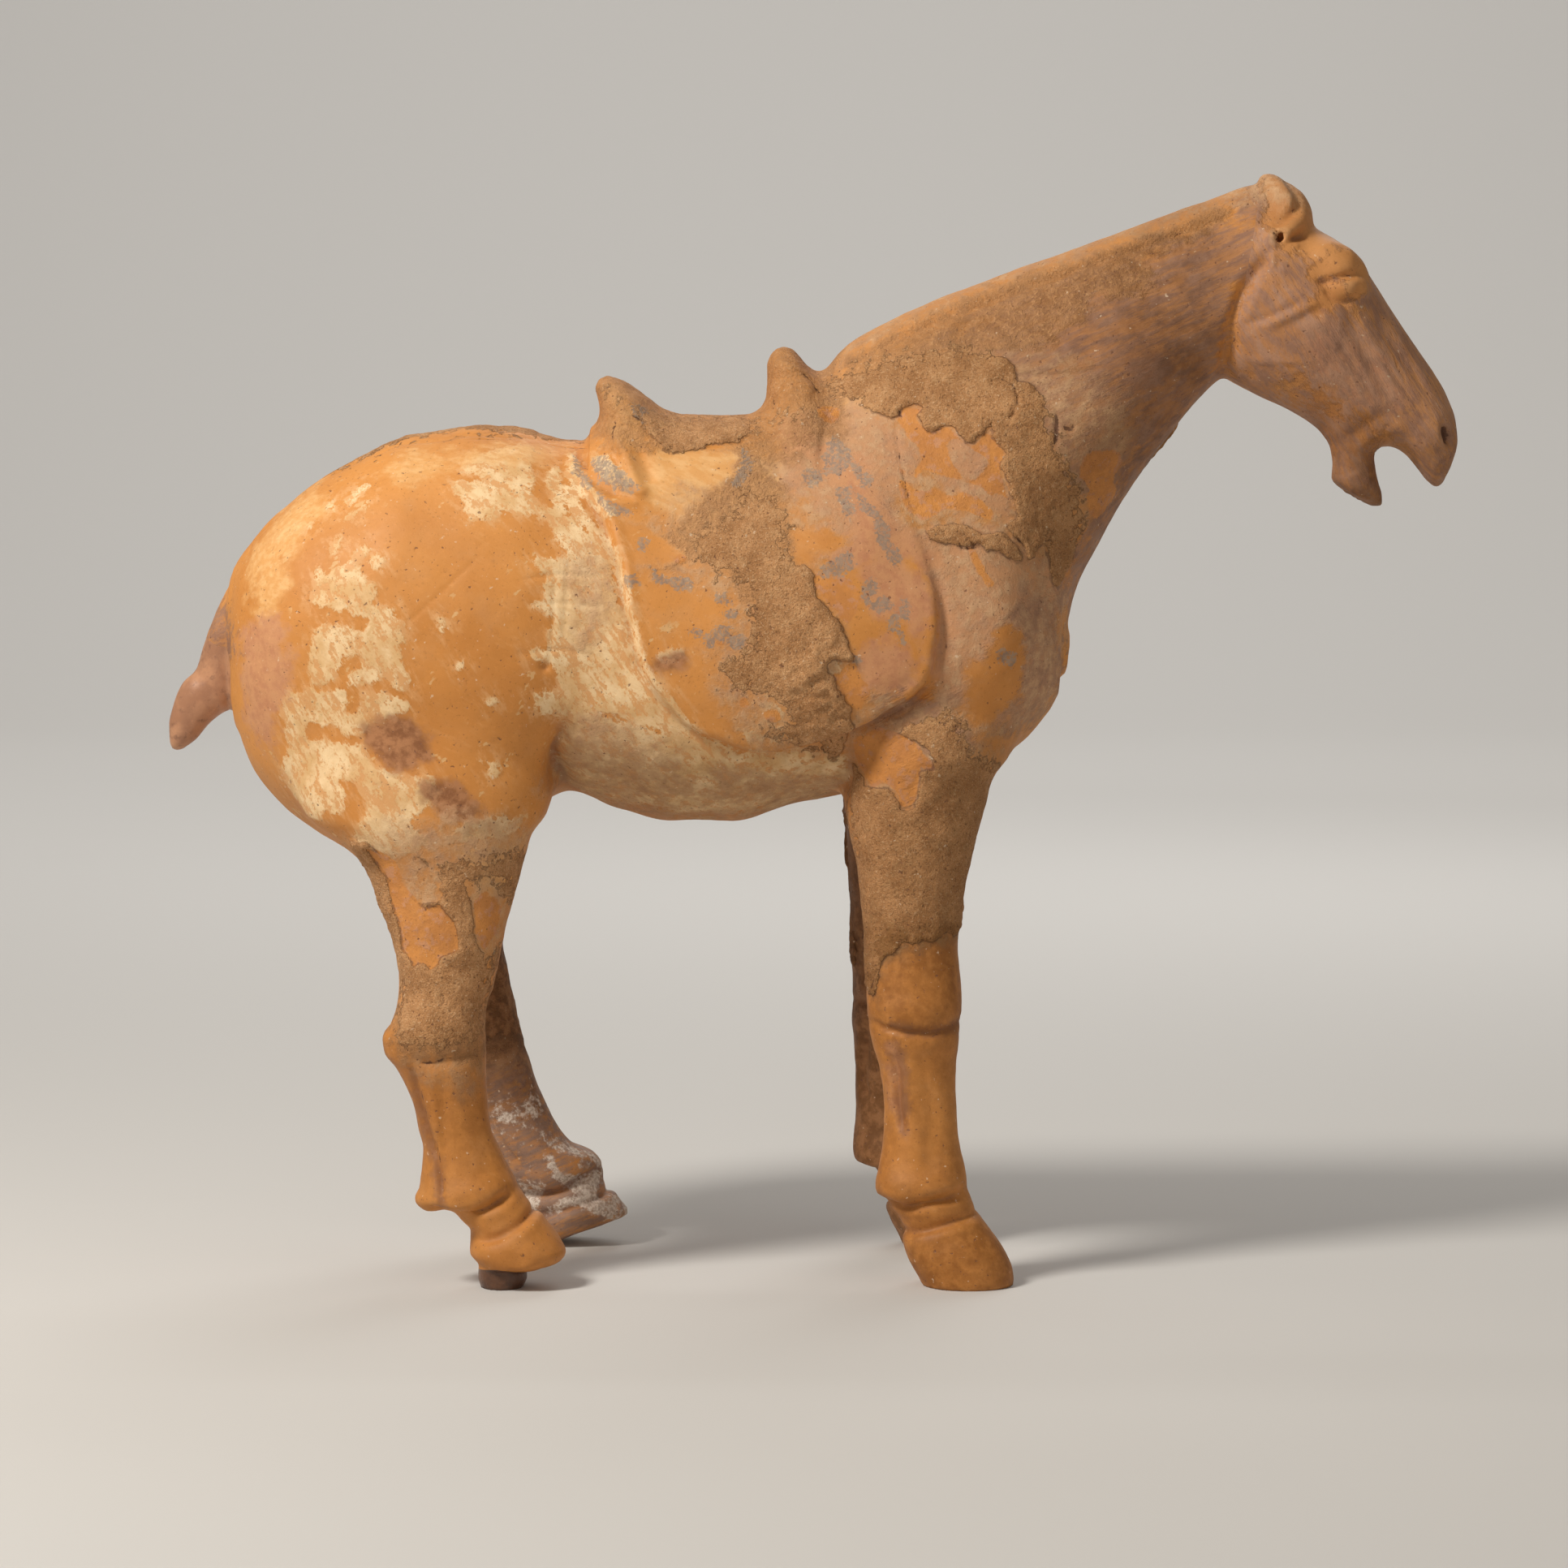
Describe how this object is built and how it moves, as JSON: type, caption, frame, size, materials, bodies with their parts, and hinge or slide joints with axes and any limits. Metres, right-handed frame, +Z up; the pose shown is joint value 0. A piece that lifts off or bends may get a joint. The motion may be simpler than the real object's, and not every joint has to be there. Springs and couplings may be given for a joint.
{
  "type": "horse figure",
  "caption": "Standing saddled horse of hollow mould-made fired clay with worn ochre slip, arched neck, open mouth and a short tail.",
  "frame": {"origin": "on the ground plane, under the middle of the figure's bounding box", "axes": "+X towards the muzzle, +Y to the horse's left, +Z up"},
  "size_m": [0.3516, 0.1006, 0.2982],
  "materials": {
    "slip": "satin ochre slip over fired clay, worn, with cream, orange and earth-coloured patches",
    "slip_head": "mauve-brown weathered slip over ochre",
    "slip_far": "darker brown slip with chalky grey deposits",
    "crust": "rough buff burial earth over slip",
    "tail": "dark reddish-brown fired clay with a grey sheen",
    "fill": "dark glossy stopping over bare orange clay",
    "bisque": "bare fired clay, unglazed, hand pressed"
  },
  "bodies": {
    "root": {"body_shell_right": "slip", "body_shell_left": "slip", "head_shell_right": "slip_head", "head_shell_left": "slip_head", "mane_ridge": "crust", "forelock": "slip_head", "ear_socket_right": "slip_head", "ear_socket_left": "slip_head", "foreleg_right": "slip", "foreleg_left": "slip_far", "hind_leg_right": "slip", "hind_leg_left": "slip_far", "hind_hoof_fill_right": "fill", "tail": "tail", "saddle_seat": "crust", "saddle_pommel": "crust", "saddle_cantle": "crust", "saddle_cloth_right": "slip", "saddle_cloth_left": "slip", "seam_coil_back": "bisque", "seam_coil_groin": "bisque", "seam_coil_chest": "bisque"}
  },
  "joints": []
}
